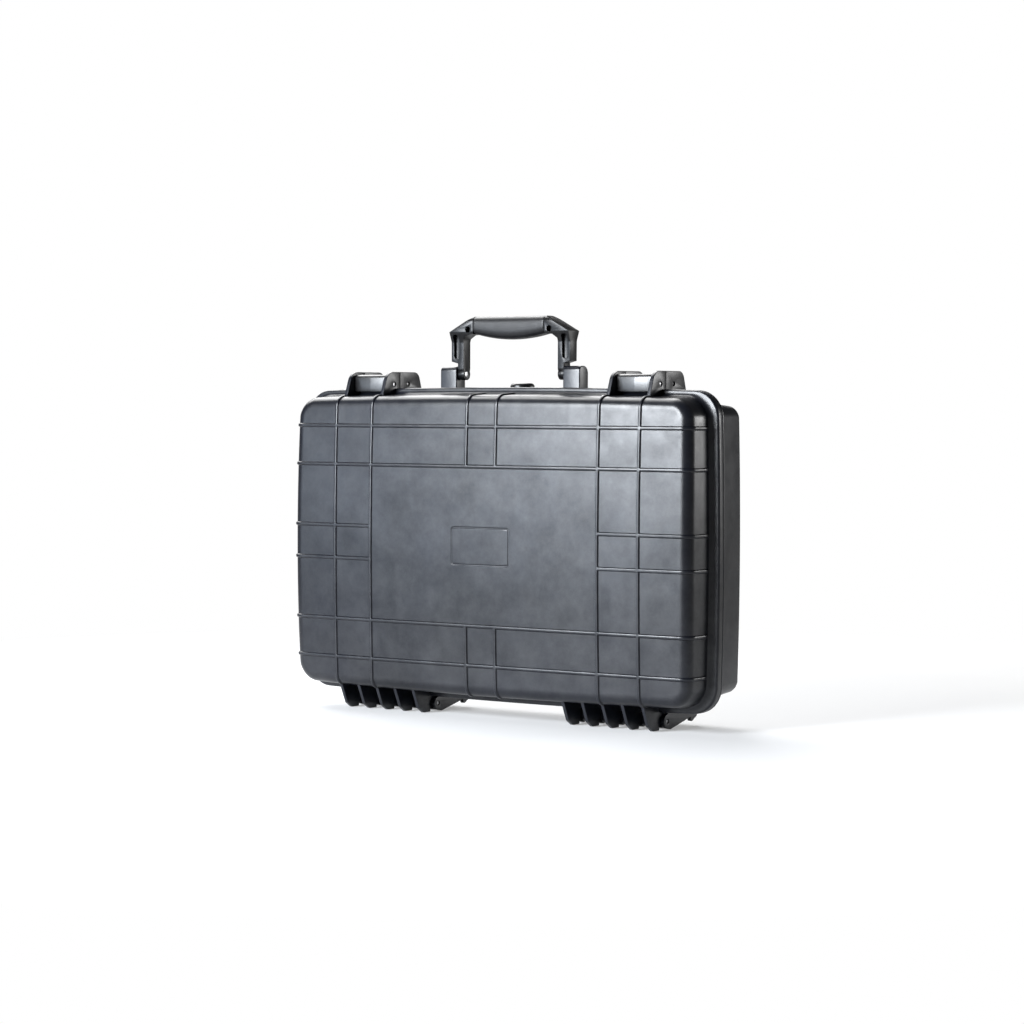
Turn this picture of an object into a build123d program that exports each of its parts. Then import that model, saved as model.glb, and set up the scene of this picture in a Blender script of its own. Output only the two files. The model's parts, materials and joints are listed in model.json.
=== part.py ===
from build123d import *
import math
import os

# Moulded hard carrying case, standing on its hinge feet with its handle up. Millimetres.
# X runs along the hinge, -Y is the lid's face, +Z is up towards the handle.
# The origin is on the floor, under the middle of the case.

# Overall form
MID_Z = 175.0            # height of the shells' centre above the floor
FACE_Y = -57.5           # middle of the lid's face
REAR_Y = 56.45           # rear face of the base
PARTING_Y = -8.5         # front of the base flange
SEAM = 0.3               # gap between the two flanges
WALL = 3.5
RIB_HEIGHT = 1.5
RIB_WIDTH = 3.5
REAR_RIB_DEPTH = 2.0     # the base's ribs stop this far round its rear edge, so its sides are smooth
EDGE_RADIUS = 11.0       # round between the lid's face and its walls
BASE_EDGE_RADIUS = 7.0

# Each outline bows outwards: half sizes are at the middle of a side, bows are how far the ends fall back
LID_HALF = (244.4, 153.9)
BASE_HALF = (241.2, 149.0)
FLANGE_HALF = (253.0, 159.5)
SIDE_BOW = 2.5
TOP_BOW = 3.2
LID_CORNER = 24.0
BASE_CORNER = 17.0
FLANGE_CORNER = 26.0
LID_DRAFT = 4.0
BASE_DRAFT = 4.5
CROWN_RADIUS_X = 8900.0  # the lid's face is slightly domed
CROWN_RADIUS_Z = 3200.0
CROWN_SWING = 3.6        # degrees of the dome each side of the middle
LID_FLANGE = 8.5
RAMP = 4.5               # the step between the lid's wall and its flange
RAMP_INSET = 5.2
RAMP_CORNER = 21.0
BASE_FLANGE = 2.5

# Seal between the flanges, measured in from the flange outline
GROOVE = (2.8, 6.3)
GROOVE_DEPTH = 4.5
GASKET = (3.0, 6.1)
GASKET_THICK = 2.0
TONGUE = (3.9, 5.2)
TONGUE_HEIGHT = 1.8

# Rib grid, measured from the middle of the face
RIB_X = (138.5, 185.0)
RIB_Z = (80.0, 120.0)
MIDDLE_RIB_X = 17.8
MIDDLE_RIB_Z = 16.9
LABEL = (71.0, 39.0)
LABEL_LINE = 1.6
LABEL_DEPTH = 0.7

# Hinge feet
FIN_PITCH = 23.25
FIN_THICK = 3.5
LID_FINS = [92.0 + FIN_PITCH * i for i in range(5)]
FOOT_MIDDLE = LID_FINS[2]
HINGE_Y = PARTING_Y
HINGE_Z = 8.3
KNUCKLE_RADIUS = 7.0
BARREL_RADIUS = 6.2
FIN_GAP = 0.4
BASE_FIN_THICK = 4.0
HINGE_PIN_RADIUS = 2.0
PRESS = 0.02             # radial clearance of a pin in the piece that holds it
RUNNING = 0.08           # radial clearance of a pin in the piece that turns

# Latches
LATCH_X = (RIB_X[0] + RIB_X[1]) / 2
EAR_THICK = 4.0
EAR_TOP = 350.5
LATCH_HALF = 20.5
LATCH_PIVOT = (6.5, 338.0)
LATCH_PIN_RADIUS = 2.0
LINK_PIVOT = (-3.5, 340.5)
LINK_PIN_RADIUS = 1.6
CATCH = (-17.5, 337.5)
CATCH_RADIUS = 2.0
HOOK_HALF = 12.0
LEVER_FRONT = -25.5
LEVER_TOP = 347.5
LEVER_BOTTOM = 330.5
LEVER_WALL = 2.5
LEVER_REAR_WALL = 13.5   # front of the rear wall
LEVER_FLANGE = 3.0
CHEEK_RADIUS = 5.5
HOOK_TOP = 342.6
HOOK_UNDERSIDE = 339.8
HOOK_EYE_RADIUS = 3.3

# Handle
HANDLE_Y = 1.0
HANDLE_Z = 348.0
HANDLE_TOP = 406.6
HANDLE_PIN_RADIUS = 2.8
BRACKET_X = (65.5, 85.5)
BRACKET_HALF = 8.0
ARM_X = (58.0, 72.8)
ARM_FOOT_X = 65.0
ARM_HALF = 6.0
SHOULDER_Z = 391.0       # where each arm's sloping shoulder begins
GRIP_HALF_LENGTH = 43.6
GRIP_HALF_DEPTH = 10.5
GRIP_END_Z = 388.6       # underside of the grip at its ends
GRIP_MIDDLE_Z = 383.0    # and in the middle, where it sags
GRIP_GAP = 0.3           # between the grip and the arms
CORE_HALF = 5.0
CORE_Z = (392.0, 403.0)

# Purge valve on the base's top wall
VALVE_Y = 17.5
VALVE_SEAT_Z = 324.6
VALVE_INNER_Z = 317.4
VALVE_BOSS_RADIUS = 16.0
VALVE_STEM_RADIUS = 6.0
VALVE_FLANGE_RADIUS = 14.0
VALVE_BOTTOM_Z = 311.0
ORING_RADIUS = 10.0
KNOB_RADIUS = 12.4
KNOB_Z = VALVE_SEAT_Z + 4.3
KNOB_SHOULDER = 335.2    # where the knob's rounded cap begins
KNOB_TOP = 338.9
SPINDLE_RADIUS = 3.0

# Foam
FOAM_GAP = 1.0
LID_FOAM_BACK = -33.0
TRAY_FRONT = -6.0
BAY_HALF = (205.0, 112.0)
BAY_FLOOR = 38.0

os.makedirs("parts", exist_ok=True)


def front_plane(y):
    """Plane facing the front, with X to the right and Z up, at the shells' centre."""
    return Plane(origin=(0, y, MID_Z), x_dir=(1, 0, 0), z_dir=(0, -1, 0))


def rear_plane(y):
    """Plane facing the rear, with Z up, at the shells' centre."""
    return Plane(origin=(0, y, MID_Z), x_dir=(-1, 0, 0), z_dir=(0, 1, 0))


def bowed_outline(plane, half, corner):
    """Rounded rectangle whose four sides bow outwards."""
    x = half[0] - SIDE_BOW
    z = half[1] - TOP_BOW
    with BuildSketch(plane) as outline:
        with BuildLine():
            ThreePointArc((-x, -z), (0, -half[1]), (x, -z))
            ThreePointArc((x, -z), (half[0], 0), (x, z))
            ThreePointArc((x, z), (0, half[1]), (-x, z))
            ThreePointArc((-x, z), (-half[0], 0), (-x, -z))
        make_face()
        fillet(outline.vertices(), corner)
    return outline.sketch


def inset(half, by):
    return (half[0] - by, half[1] - by)


def lid_form(by):
    """The lid's solid form, moved in everywhere by the given amount."""
    front_y = FACE_Y + by
    with BuildPart() as crown:
        tilt = math.radians(CROWN_SWING)
        top_plane = Plane(
            origin=(0, front_y + CROWN_RADIUS_Z, MID_Z),
            x_dir=(1, 0, 0),
            z_dir=(0, math.sin(tilt), math.cos(tilt)),
        )
        with BuildSketch(top_plane):
            reach = 300.0
            face = -CROWN_RADIUS_Z
            drop = CROWN_RADIUS_X - math.sqrt(CROWN_RADIUS_X**2 - reach**2)
            with BuildLine():
                ThreePointArc((-reach, face + drop), (0, face), (reach, face + drop))
                Polyline((reach, face + drop), (reach, face + 90), (-reach, face + 90), (-reach, face + drop))
            make_face()
        revolve(axis=Axis(top_plane.origin, (1, 0, 0)), revolution_arc=2 * CROWN_SWING)
    with BuildPart() as form:
        outline = bowed_outline(front_plane(PARTING_Y - SEAM), inset(LID_HALF, by), LID_CORNER - by)
        extrude(outline, amount=PARTING_Y - SEAM - front_y + 2, taper=LID_DRAFT)
        add(crown.part, mode=Mode.INTERSECT)
        fillet(form.faces().sort_by(Axis.Y)[0].edges(), EDGE_RADIUS - by)
    return form.part


def base_form(by):
    """The base's solid form, moved in everywhere by the given amount."""
    with BuildPart() as form:
        outline = bowed_outline(rear_plane(PARTING_Y), inset(BASE_HALF, by), BASE_CORNER - by)
        extrude(outline, amount=REAR_Y - by - PARTING_Y, taper=BASE_DRAFT)
        fillet(form.faces().sort_by(Axis.Y)[-1].edges(), BASE_EDGE_RADIUS - by)
    return form.part


def flange_ring(y, depth, outer, inner, plane_at):
    """A bowed ring between two insets from the flange outline."""
    with BuildPart() as ring:
        extrude(bowed_outline(plane_at(y), inset(FLANGE_HALF, outer), FLANGE_CORNER - outer), amount=depth)
        hole = bowed_outline(plane_at(y), inset(FLANGE_HALF, inner), FLANGE_CORNER - inner)
        extrude(hole, amount=depth, mode=Mode.SUBTRACT)
    return ring.part


def rib_bars(form, plane):
    """The rib grid: bars of a form that is already one rib height too big."""
    reach = 300.0
    end_bar = reach - RIB_Z[0]
    side_bar = reach - RIB_X[0]
    with BuildPart() as bars:
        with BuildSketch(plane):
            for side in (-1, 1):
                for x in RIB_X:
                    with Locations((side * x, 0)):
                        Rectangle(RIB_WIDTH, 2 * reach)
                for z in RIB_Z:
                    with Locations((0, side * z)):
                        Rectangle(2 * reach, RIB_WIDTH)
                for end in (-1, 1):
                    with Locations((side * MIDDLE_RIB_X, end * (RIB_Z[0] + end_bar / 2))):
                        Rectangle(RIB_WIDTH, end_bar)
                    with Locations((end * (RIB_X[0] + side_bar / 2), side * MIDDLE_RIB_Z)):
                        Rectangle(side_bar, RIB_WIDTH)
        extrude(amount=120, both=True)
        add(form, mode=Mode.INTERSECT)
    return bars.part


def plates(profile, middles, thick):
    """Flat plates cut to one side profile, their thickness along X."""
    with BuildPart() as group:
        for middle_x in middles:
            extrude(Plane.YZ.offset(middle_x - thick / 2) * profile, amount=thick)
    return group.part


def rod(x_from, x_to, y, z, radius):
    """A round bar along X."""
    with BuildPart() as bar:
        with BuildSketch(Plane.YZ.offset(x_from)):
            with Locations((y, z)):
                Circle(radius)
        extrude(amount=x_to - x_from)
    return bar.part


# Side profiles, drawn as (Y, Z)
with BuildSketch() as lid_fin_profile:
    with BuildLine():
        Polyline((-46.5, 26.0), (-36.5, 5.0), (-28.5, 0.0), (-14.0, 0.0), (HINGE_Y, HINGE_Z - KNUCKLE_RADIUS))
        Polyline((HINGE_Y, HINGE_Z - KNUCKLE_RADIUS), (HINGE_Y, HINGE_Z), (PARTING_Y - SEAM, HINGE_Z))
        Polyline((PARTING_Y - SEAM, HINGE_Z), (PARTING_Y - SEAM, 34.0), (-46.5, 34.0), (-46.5, 26.0))
    make_face()
    with Locations((HINGE_Y, HINGE_Z)):
        Circle(KNUCKLE_RADIUS)
        Circle(HINGE_PIN_RADIUS + RUNNING, mode=Mode.SUBTRACT)

with BuildSketch() as base_fin_profile:
    with BuildLine():
        Polyline((HINGE_Y, HINGE_Z - KNUCKLE_RADIUS), (-3.0, 0.0), (30.5, 0.0), (47.5, 9.3), (47.5, 38.0))
        Polyline((47.5, 38.0), (PARTING_Y, 38.0), (HINGE_Y, HINGE_Z - KNUCKLE_RADIUS))
    make_face()
    with Locations((HINGE_Y, HINGE_Z)):
        Circle(KNUCKLE_RADIUS)
        Circle(HINGE_PIN_RADIUS + PRESS, mode=Mode.SUBTRACT)

with BuildSketch() as lid_ear_profile:
    with BuildLine():
        Polyline((-40.0, 320.0), (-29.0, EAR_TOP), (PARTING_Y - SEAM, EAR_TOP))
        Polyline((PARTING_Y - SEAM, EAR_TOP), (PARTING_Y - SEAM, 320.0), (-40.0, 320.0))
    make_face()
    fillet(lid_ear_profile.vertices().filter_by_position(Axis.X, -30, -28), 13.0)
    with Locations(CATCH):
        Circle(CATCH_RADIUS + PRESS, mode=Mode.SUBTRACT)

with BuildSketch() as base_ear_profile:
    with BuildLine():
        Polyline((PARTING_Y, 312.0), (PARTING_Y, EAR_TOP), (24.0, EAR_TOP), (29.5, 333.0), (31.0, 312.0))
        Line((31.0, 312.0), (PARTING_Y, 312.0))
    make_face()
    fillet(base_ear_profile.vertices().filter_by_position(Axis.X, 23, 25), 9.0)
    with Locations(LATCH_PIVOT):
        Circle(LATCH_PIN_RADIUS + PRESS, mode=Mode.SUBTRACT)

ear_xs = [side * x for side in (-1, 1) for x in RIB_X]
lid_fin_xs = [side * x for side in (-1, 1) for x in LID_FINS]

# Lid shell
lid_outer = lid_form(0)
lid_cavity = lid_form(WALL)
lid_ribs = rib_bars(lid_form(-RIB_HEIGHT), front_plane(0))
lid_back = PARTING_Y - SEAM
gasket_groove = flange_ring(lid_back, GROOVE_DEPTH, GROOVE[0], GROOVE[1], front_plane)
with BuildPart() as lid_flange:
    extrude(bowed_outline(front_plane(lid_back), FLANGE_HALF, FLANGE_CORNER), amount=LID_FLANGE - SEAM)
    fillet(lid_flange.faces().sort_by(Axis.Y)[0].edges(), 2.2)

with BuildPart() as lid_ramp:
    ramp_foot = front_plane(PARTING_Y - LID_FLANGE + 1)
    extrude(bowed_outline(ramp_foot, inset(FLANGE_HALF, RAMP_INSET), RAMP_CORNER), amount=RAMP)
    fillet(lid_ramp.faces().sort_by(Axis.Y)[0].edges(), 3.0)

with BuildPart() as lid_shell:
    add(lid_outer)
    add(lid_ribs)
    add(lid_flange.part)
    add(lid_ramp.part)
    add(plates(lid_fin_profile.sketch, lid_fin_xs, FIN_THICK))
    add(plates(lid_ear_profile.sketch, ear_xs, EAR_THICK))
    add(lid_cavity, mode=Mode.SUBTRACT)
    add(gasket_groove, mode=Mode.SUBTRACT)
    with BuildSketch(front_plane(FACE_Y + LABEL_DEPTH)) as label_line:
        RectangleRounded(*LABEL, 3.5)
        RectangleRounded(LABEL[0] - 2 * LABEL_LINE, LABEL[1] - 2 * LABEL_LINE, 2.0, mode=Mode.SUBTRACT)
    extrude(amount=5, mode=Mode.SUBTRACT)

# Base shell
base_cavity = base_form(WALL)
with BuildPart() as base_ribs:
    add(rib_bars(base_form(-RIB_HEIGHT), rear_plane(0)))
    split(bisect_by=Plane.XZ.offset(-(REAR_Y - REAR_RIB_DEPTH)), keep=Keep.BOTTOM)

base_tongue = flange_ring(PARTING_Y, TONGUE_HEIGHT, TONGUE[0], TONGUE[1], front_plane)
with BuildPart() as base_flange:
    extrude(bowed_outline(rear_plane(PARTING_Y), FLANGE_HALF, FLANGE_CORNER), amount=BASE_FLANGE)
    fillet(base_flange.faces().sort_by(Axis.Y)[-1].edges(), 1.0)

base_fin_xs = [side * (x + FIN_PITCH / 2) for side in (-1, 1) for x in LID_FINS[:-1]]
end_offset = FIN_THICK / 2 + FIN_GAP + BASE_FIN_THICK / 2
end_fin_xs = [side * x for side in (-1, 1) for x in (LID_FINS[0] - end_offset, LID_FINS[-1] + end_offset)]
barrel_half = (FIN_PITCH - FIN_THICK) / 2 - FIN_GAP

with BuildSketch() as bracket_profile:
    with Locations((HANDLE_Y, (310 + HANDLE_Z + BRACKET_HALF) / 2)):
        Rectangle(2 * BRACKET_HALF, HANDLE_Z + BRACKET_HALF - 310)
    top_corners = bracket_profile.vertices().group_by(Axis.Y)[-1].sort_by(Axis.X)
    fillet(top_corners[1:], BRACKET_HALF - 0.5)
    fillet(bracket_profile.vertices().group_by(Axis.Y)[-1].sort_by(Axis.X)[:1], 5.0)

bracket_xs = [side * (BRACKET_X[0] + BRACKET_X[1]) / 2 for side in (-1, 1)]
with BuildSketch() as barrel_profile:
    with Locations((HINGE_Y, HINGE_Z)):
        Circle(BARREL_RADIUS)
        Circle(HINGE_PIN_RADIUS + PRESS, mode=Mode.SUBTRACT)

with BuildPart() as base_knuckles:
    add(plates(base_fin_profile.sketch, base_fin_xs + end_fin_xs, BASE_FIN_THICK))
    add(plates(barrel_profile.sketch, base_fin_xs, 2 * barrel_half))

with BuildPart() as base_shell:
    add(base_form(0))
    add(base_ribs.part)
    add(base_flange.part)
    add(base_knuckles.part)
    add(plates(base_ear_profile.sketch, ear_xs, EAR_THICK))
    add(plates(bracket_profile.sketch, bracket_xs, BRACKET_X[1] - BRACKET_X[0]))
    add(base_cavity, mode=Mode.SUBTRACT)
    add(base_tongue)
    with BuildSketch(Plane.XY.offset(VALVE_INNER_Z)):
        with Locations((0, VALVE_Y)):
            Circle(VALVE_BOSS_RADIUS)
    extrude(amount=VALVE_SEAT_Z - VALVE_INNER_Z)
    with BuildSketch(Plane.XY.offset(VALVE_INNER_Z)):
        with Locations((0, VALVE_Y)):
            Circle(VALVE_STEM_RADIUS + 0.1)
    extrude(amount=20, both=True, mode=Mode.SUBTRACT)
    for side in (-1, 1):
        bracket = side * (BRACKET_X[0] + 7)
        add(rod(bracket - 8, bracket + 8, HANDLE_Y, HANDLE_Z, HANDLE_PIN_RADIUS + PRESS), mode=Mode.SUBTRACT)

# Seal
gasket_front = lid_back - GROOVE_DEPTH + GASKET_THICK
lid_gasket = flange_ring(gasket_front, GASKET_THICK - 0.05, GASKET[0], GASKET[1], front_plane)

# Foam: a padded sheet in the lid, and a tray with one open bay in the base
with BuildPart() as lid_foam:
    add(lid_form(WALL + FOAM_GAP))
    split(bisect_by=Plane.XZ.offset(-LID_FOAM_BACK), keep=Keep.TOP)

with BuildPart() as base_foam:
    add(base_form(WALL + FOAM_GAP))
    split(bisect_by=Plane.XZ.offset(-TRAY_FRONT), keep=Keep.BOTTOM)
    with BuildSketch(front_plane(BAY_FLOOR)):
        RectangleRounded(2 * BAY_HALF[0], 2 * BAY_HALF[1], 16)
    extrude(amount=60, mode=Mode.SUBTRACT)
    with BuildSketch(Plane.XY.offset(MID_Z + BAY_HALF[1] + 20)):
        with Locations((0, VALVE_Y)):
            RectangleRounded(36, 36, 5)
    extrude(amount=40, mode=Mode.SUBTRACT)

# Purge valve
with BuildPart() as valve_body:
    with BuildSketch(Plane.XY.offset(VALVE_BOTTOM_Z)):
        with Locations((0, VALVE_Y)):
            Circle(VALVE_STEM_RADIUS)
    extrude(amount=VALVE_SEAT_Z + 1.0 - VALVE_BOTTOM_Z)
    with BuildSketch(Plane.XY.offset(VALVE_SEAT_Z + 1.0)):
        with Locations((0, VALVE_Y)):
            Circle(VALVE_FLANGE_RADIUS)
    extrude(amount=3.0)
    fillet(valve_body.faces().sort_by(Axis.Z)[-1].edges(), 0.8)
    with BuildSketch(Plane.XY.offset(VALVE_SEAT_Z + 4.0)):
        with Locations((0, VALVE_Y)):
            Circle(SPINDLE_RADIUS)
    extrude(amount=6.0)

with BuildPart() as valve_oring:
    with BuildSketch(Plane.XZ.offset(-VALVE_Y)):
        with Locations((ORING_RADIUS, VALVE_SEAT_Z + 0.5)):
            Ellipse(1.2, 0.48)
    revolve(axis=Axis((0, VALVE_Y, 0), (0, 0, 1)))

with BuildPart() as valve_nut:
    with BuildSketch(Plane.XY.offset(VALVE_INNER_Z - 5.0)):
        with Locations((0, VALVE_Y)):
            RegularPolygon(10.4, 6)
            Circle(VALVE_STEM_RADIUS + PRESS, mode=Mode.SUBTRACT)
    extrude(amount=5.0)

with BuildPart() as valve_knob:
    with BuildSketch(Plane.XY.offset(KNOB_Z)):
        with Locations((0, VALVE_Y)):
            Circle(KNOB_RADIUS)
    extrude(amount=KNOB_TOP - KNOB_Z)
    fillet(valve_knob.faces().sort_by(Axis.Z)[-1].edges(), KNOB_TOP - KNOB_SHOULDER)
    with BuildSketch(Plane.XY.offset(KNOB_Z)):
        with Locations((0, VALVE_Y)):
            with PolarLocations(KNOB_RADIUS + 2.2, 12):
                Circle(3.0)
    extrude(amount=KNOB_SHOULDER - 0.6 - KNOB_Z, mode=Mode.SUBTRACT)
    with BuildSketch(Plane.XY.offset(KNOB_Z)):
        with Locations((0, VALVE_Y)):
            Circle(SPINDLE_RADIUS + RUNNING)
    extrude(amount=6.0, mode=Mode.SUBTRACT)

# Latch pieces, drawn for a latch whose middle is at x
def latch_lever(x):
    """Channel-shaped lever: front panel, top, rear wall and two side cheeks that carry the pins."""
    with BuildSketch() as outer_profile:
        with BuildLine():
            inner_front = LEVER_FRONT + LEVER_WALL
            Polyline((LEVER_FRONT, LEVER_BOTTOM), (LEVER_FRONT, LEVER_TOP), (16.5, LEVER_TOP), (18.5, 337.0))
            Polyline((18.5, 337.0), (inner_front, LEVER_BOTTOM), (LEVER_FRONT, LEVER_BOTTOM))
        make_face()
        fillet(outer_profile.vertices().group_by(Axis.Y)[-1], 4.0)
    with BuildPart() as body:
        extrude(Plane.YZ.offset(x - LATCH_HALF) * outer_profile.sketch, amount=2 * LATCH_HALF)
        with BuildSketch(Plane.YZ.offset(x - LATCH_HALF)):
            channel_depth = 25.0
            channel_middle = (LEVER_TOP - LEVER_WALL) - channel_depth / 2
            with Locations(((inner_front + LEVER_REAR_WALL) / 2, channel_middle)):
                Rectangle(LEVER_REAR_WALL - inner_front, channel_depth)
        extrude(amount=2 * LATCH_HALF, mode=Mode.SUBTRACT)
        with BuildSketch(Plane.YZ.offset(x - LATCH_HALF)) as cheek:
            with BuildLine():
                Polyline((-11.0, 346.0), (-11.0, 338.0), (-7.0, 334.8), (12.0, 334.8))
                Polyline((12.0, 334.8), (15.0, 338.0), (15.0, 346.0), (-11.0, 346.0))
            make_face()
            with Locations(LATCH_PIVOT):
                Circle(CHEEK_RADIUS)
        extrude(amount=LEVER_FLANGE)
        mirror(about=Plane.YZ.offset(x), mode=Mode.ADD)
        add(rod(x - 25, x + 25, *LATCH_PIVOT, LATCH_PIN_RADIUS + RUNNING), mode=Mode.SUBTRACT)
        add(rod(x - 20, x + 20, *LINK_PIVOT, LINK_PIN_RADIUS + PRESS), mode=Mode.SUBTRACT)
    return body.part


def latch_hook(x):
    """Claw that turns on the lever's link pin and drops in front of the lid's catch bar."""
    with BuildSketch() as profile:
        with BuildLine():
            root = LINK_PIVOT[0]
            Polyline((-22.3, 334.5), (-22.3, HOOK_TOP), (root, HOOK_TOP), (root, HOOK_UNDERSIDE))
            Polyline((root, HOOK_UNDERSIDE), (-19.7, HOOK_UNDERSIDE), (-19.7, 335.5), (-20.7, 334.5))
            Line((-20.7, 334.5), (-22.3, 334.5))
        make_face()
        fillet(profile.vertices().group_by(Axis.Y)[-1].sort_by(Axis.X)[:1], 2.0)
        with Locations(LINK_PIVOT):
            Circle(HOOK_EYE_RADIUS)
    with BuildPart() as body:
        extrude(Plane.YZ.offset(x - HOOK_HALF) * profile.sketch, amount=2 * HOOK_HALF)
        add(rod(x - 20, x + 20, *LINK_PIVOT, LINK_PIN_RADIUS + RUNNING), mode=Mode.SUBTRACT)
    return body.part


# Handle frame: two arms with sloping shoulders, joined by a core that the grip is moulded over
arm_inner_x = GRIP_HALF_LENGTH + GRIP_GAP
with BuildPart() as handle_frame:
    with BuildSketch(Plane.XZ.offset(-HANDLE_Y)):
        with BuildLine():
            Polyline((arm_inner_x, HANDLE_TOP), (73.0, SHOULDER_Z), (ARM_X[1], 361.0), (ARM_FOOT_X, 359.0))
            Polyline((ARM_FOOT_X, 359.0), (ARM_FOOT_X, 340.0), (ARM_X[0], 340.0), (ARM_X[0], 384.0))
            Polyline((ARM_X[0], 384.0), (53.0, 388.0), (arm_inner_x, GRIP_END_Z))
            Line((arm_inner_x, GRIP_END_Z), (arm_inner_x, HANDLE_TOP))
        make_face()
        mirror(about=Plane.YZ)
        with Locations((0, (CORE_Z[0] + CORE_Z[1]) / 2)):
            Rectangle(2 * GRIP_HALF_LENGTH + 2, CORE_Z[1] - CORE_Z[0])
    extrude(amount=GRIP_HALF_DEPTH - GRIP_GAP, both=True)
    with BuildSketch(Plane.YZ) as side_profile:
        with BuildLine():
            front = HANDLE_Y - ARM_HALF
            rear = HANDLE_Y + ARM_HALF
            flare = GRIP_HALF_DEPTH - ARM_HALF - GRIP_GAP
            flare_z = SHOULDER_Z - 10.0
            Polyline((front, HANDLE_Z), (rear, HANDLE_Z), (rear, flare_z), (rear + flare, SHOULDER_Z))
            Polyline((rear + flare, SHOULDER_Z), (rear + flare, HANDLE_TOP), (front - flare, HANDLE_TOP))
            Polyline((front - flare, HANDLE_TOP), (front - flare, SHOULDER_Z), (front, flare_z))
            Line((front, flare_z), (front, HANDLE_Z))
        make_face()
        fillet(side_profile.vertices().group_by(Axis.Z)[-1], 6.0)
        with Locations((HANDLE_Y, HANDLE_Z)):
            Circle(ARM_HALF)
    extrude(amount=80, both=True, mode=Mode.INTERSECT)
    for side in (-1, 1):
        for face in (-1, 1):
            recess_at = (side * 66.5, HANDLE_Y + face * (ARM_HALF - 3.5), 376.0)
            recess = Plane(origin=recess_at, x_dir=(1, 0, 0), z_dir=(0, face, 0))
            with BuildSketch(recess):
                RectangleRounded(7.0, 25.0, 3.0)
            extrude(amount=20, mode=Mode.SUBTRACT)
            pocket = Plane(origin=(side * 50.0, HANDLE_Y + face * 4.0, 393.5), z_dir=(0, face, 0))
            with BuildSketch(pocket):
                Circle(3.2)
            extrude(amount=20, mode=Mode.SUBTRACT)
    for side in (-1, 1):
        arm = side * ARM_X[0]
        add(rod(arm - 10, arm + 10, HANDLE_Y, HANDLE_Z, HANDLE_PIN_RADIUS + RUNNING), mode=Mode.SUBTRACT)
    with BuildSketch(Plane.YZ) as core_trim:
        with Locations((HANDLE_Y, (CORE_Z[0] + CORE_Z[1]) / 2)):
            Rectangle(40, 40)
            Rectangle(2 * CORE_HALF, CORE_Z[1] - CORE_Z[0], mode=Mode.SUBTRACT)
    extrude(amount=arm_inner_x, both=True, mode=Mode.SUBTRACT)

with BuildPart() as handle_grip:
    with BuildSketch(Plane.XZ.offset(-HANDLE_Y)):
        with BuildLine():
            end = GRIP_HALF_LENGTH
            Polyline((-end, GRIP_END_Z), (-end, HANDLE_TOP), (end, HANDLE_TOP), (end, GRIP_END_Z))
            ThreePointArc((-end, GRIP_END_Z), (0, GRIP_MIDDLE_Z), (end, GRIP_END_Z))
        make_face()
    extrude(amount=GRIP_HALF_DEPTH, both=True)
    fillet(handle_grip.faces().sort_by(Axis.Z)[-1].edges().filter_by(Axis.X), 6.0)
    fillet(handle_grip.edges().filter_by(GeomType.CIRCLE).sort_by(Axis.Z)[:2], 8.0)
    with BuildSketch(Plane.YZ) as core_hole:
        with Locations((HANDLE_Y, (CORE_Z[0] + CORE_Z[1]) / 2)):
            Rectangle(2 * CORE_HALF + 0.1, CORE_Z[1] - CORE_Z[0] + 0.1)
    extrude(amount=60, both=True, mode=Mode.SUBTRACT)

pieces = {
    "lid_shell": lid_shell.part,
    "lid_gasket": lid_gasket,
    "lid_foam": lid_foam.part,
    "base_shell": base_shell.part,
    "base_foam": base_foam.part,
    "valve_body": valve_body.part,
    "valve_oring": valve_oring.part,
    "valve_nut": valve_nut.part,
    "valve_knob": valve_knob.part,
    "handle_frame": handle_frame.part,
    "handle_grip": handle_grip.part,
}
for name, side in (("left", -1), ("right", 1)):
    foot = side * FOOT_MIDDLE
    latch = side * LATCH_X
    handle = side * (BRACKET_X[0] + 3.25)
    pieces["hinge_pin_" + name] = rod(foot - 51.5, foot + 51.5, HINGE_Y, HINGE_Z, HINGE_PIN_RADIUS)
    pieces["catch_bar_" + name] = rod(latch - 24.2, latch + 24.2, *CATCH, CATCH_RADIUS)
    pieces["latch_pin_" + name] = rod(latch - 23.7, latch + 23.7, *LATCH_PIVOT, LATCH_PIN_RADIUS)
    pieces["link_pin_" + name] = rod(latch - 19.8, latch + 19.8, *LINK_PIVOT, LINK_PIN_RADIUS)
    pieces["latch_lever_" + name] = latch_lever(latch)
    pieces["latch_hook_" + name] = latch_hook(latch)
    pieces["handle_pin_" + name] = rod(handle - 10.5, handle + 10.5, HANDLE_Y, HANDLE_Z, HANDLE_PIN_RADIUS)

for name, piece in pieces.items():
    piece.label = name
    export_step(piece, "parts/" + name + ".step")
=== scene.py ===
import json
import math

import bmesh
import bpy
import numpy as np
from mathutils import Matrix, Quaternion, Vector

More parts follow.
